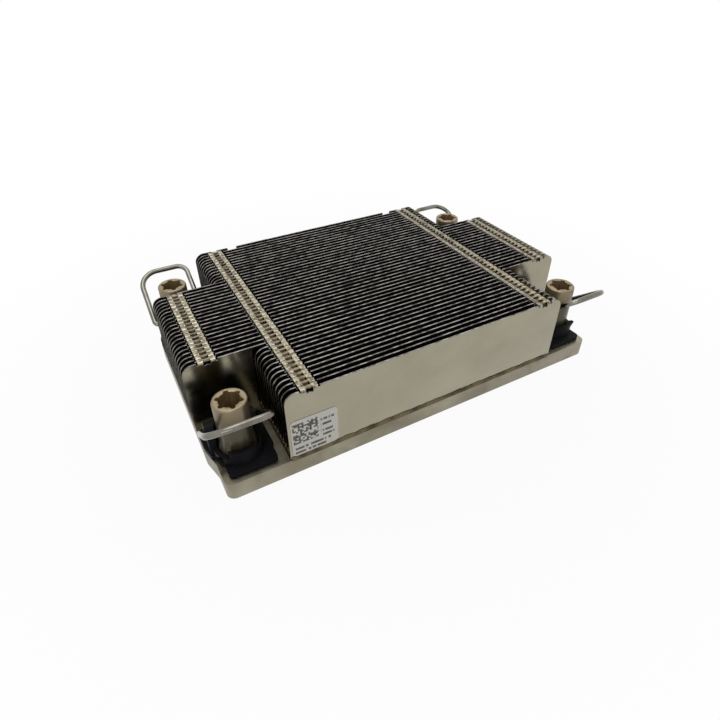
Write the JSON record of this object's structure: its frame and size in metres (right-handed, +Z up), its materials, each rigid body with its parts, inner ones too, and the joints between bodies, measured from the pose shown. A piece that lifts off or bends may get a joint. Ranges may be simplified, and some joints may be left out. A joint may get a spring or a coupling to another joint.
{
  "type": "passive server cpu heatsink",
  "caption": "Low passive heatsink: flat base plate, row of interlocked sheet fins with two ears, captive corner nuts in moulded brackets, and swinging wire bails.",
  "frame": {"origin": "centre of the flat underside that meets the processor", "axes": "+X along the fins, +Y across the fins towards the rear, +Z up from the contact face"},
  "size_m": [0.122, 0.0847, 0.0258],
  "materials": {
    "base_plate": "bead-blasted and plated, satin",
    "fins": "rolled sheet, satin",
    "captive_nuts": "turned and plated, warm satin",
    "bails": "bright spring wire",
    "retaining_rings": "plain spring steel",
    "brackets": "moulded black nylon, fine texture",
    "label": "matt printed film"
  },
  "bodies": {
    "heatsink": {"base_plate": "base_plate", "fin_01": "fins", "fin_02": "fins", "fin_03": "fins", "fin_04": "fins", "fin_05": "fins", "fin_06": "fins", "fin_07": "fins", "fin_08": "fins", "fin_09": "fins", "fin_10": "fins", "fin_11": "fins", "fin_12": "fins", "fin_13": "fins", "fin_14": "fins", "fin_15": "fins", "fin_16": "fins", "fin_17": "fins", "fin_18": "fins", "fin_19": "fins", "fin_20": "fins", "fin_21": "fins", "fin_22": "fins", "fin_23": "fins", "fin_24": "fins", "fin_25": "fins", "fin_26": "fins", "fin_27": "fins", "fin_28": "fins", "fin_29": "fins", "fin_30": "fins", "fin_31": "fins", "fin_32": "fins", "fin_33": "fins", "fin_34": "fins", "fin_35": "fins", "fin_36": "fins", "fin_37": "fins", "fin_38": "fins", "fin_39": "fins", "fin_40": "fins", "fin_41": "fins", "fin_42": "fins", "fin_43": "fins", "fin_44": "fins", "fin_45": "fins", "bracket_front_left": "brackets", "bracket_front_right": "brackets", "bracket_rear_left": "brackets", "bracket_rear_right": "brackets", "retaining_rings": "retaining_rings", "label": "label"},
    "nut_front_left": {"captive_nut_front_left": "captive_nuts"},
    "wire_front_left": {"bail_front_left": "bails"},
    "nut_front_right": {"captive_nut_front_right": "captive_nuts"},
    "wire_front_right": {"bail_front_right": "bails"},
    "nut_rear_left": {"captive_nut_rear_left": "captive_nuts"},
    "wire_rear_left": {"bail_rear_left": "bails"},
    "nut_rear_right": {"captive_nut_rear_right": "captive_nuts"},
    "wire_rear_right": {"bail_rear_right": "bails"}
  },
  "joints": [
    {"name": "nut_turn_front_left", "type": "hinge", "parent": "heatsink", "child": "nut_front_left", "pos_m": [-0.0524, -0.0294, 0.012], "axis": [0, 0, 1], "continuous": true},
    {"name": "nut_turn_front_right", "type": "hinge", "parent": "heatsink", "child": "nut_front_right", "pos_m": [0.0524, -0.0294, 0.012], "axis": [0, 0, 1], "continuous": true},
    {"name": "nut_turn_rear_left", "type": "hinge", "parent": "heatsink", "child": "nut_rear_left", "pos_m": [-0.0524, 0.0294, 0.012], "axis": [0, 0, 1], "continuous": true},
    {"name": "nut_turn_rear_right", "type": "hinge", "parent": "heatsink", "child": "nut_rear_right", "pos_m": [0.0524, 0.0294, 0.012], "axis": [0, 0, 1], "continuous": true},
    {"name": "bail_swing_front_left", "type": "hinge", "parent": "heatsink", "child": "wire_front_left", "pos_m": [-0.0524, -0.026, 0.012], "axis": [1, 0, 0], "range_deg": [-77, 61]},
    {"name": "bail_swing_front_right", "type": "hinge", "parent": "heatsink", "child": "wire_front_right", "pos_m": [0.0524, -0.026, 0.012], "axis": [1, 0, 0], "range_deg": [-77, 61]},
    {"name": "bail_swing_rear_left", "type": "hinge", "parent": "heatsink", "child": "wire_rear_left", "pos_m": [-0.0524, 0.026, 0.012], "axis": [-1, 0, 0], "range_deg": [-87, 51]},
    {"name": "bail_swing_rear_right", "type": "hinge", "parent": "heatsink", "child": "wire_rear_right", "pos_m": [0.0524, 0.026, 0.012], "axis": [-1, 0, 0], "range_deg": [-87, 51]}
  ]
}
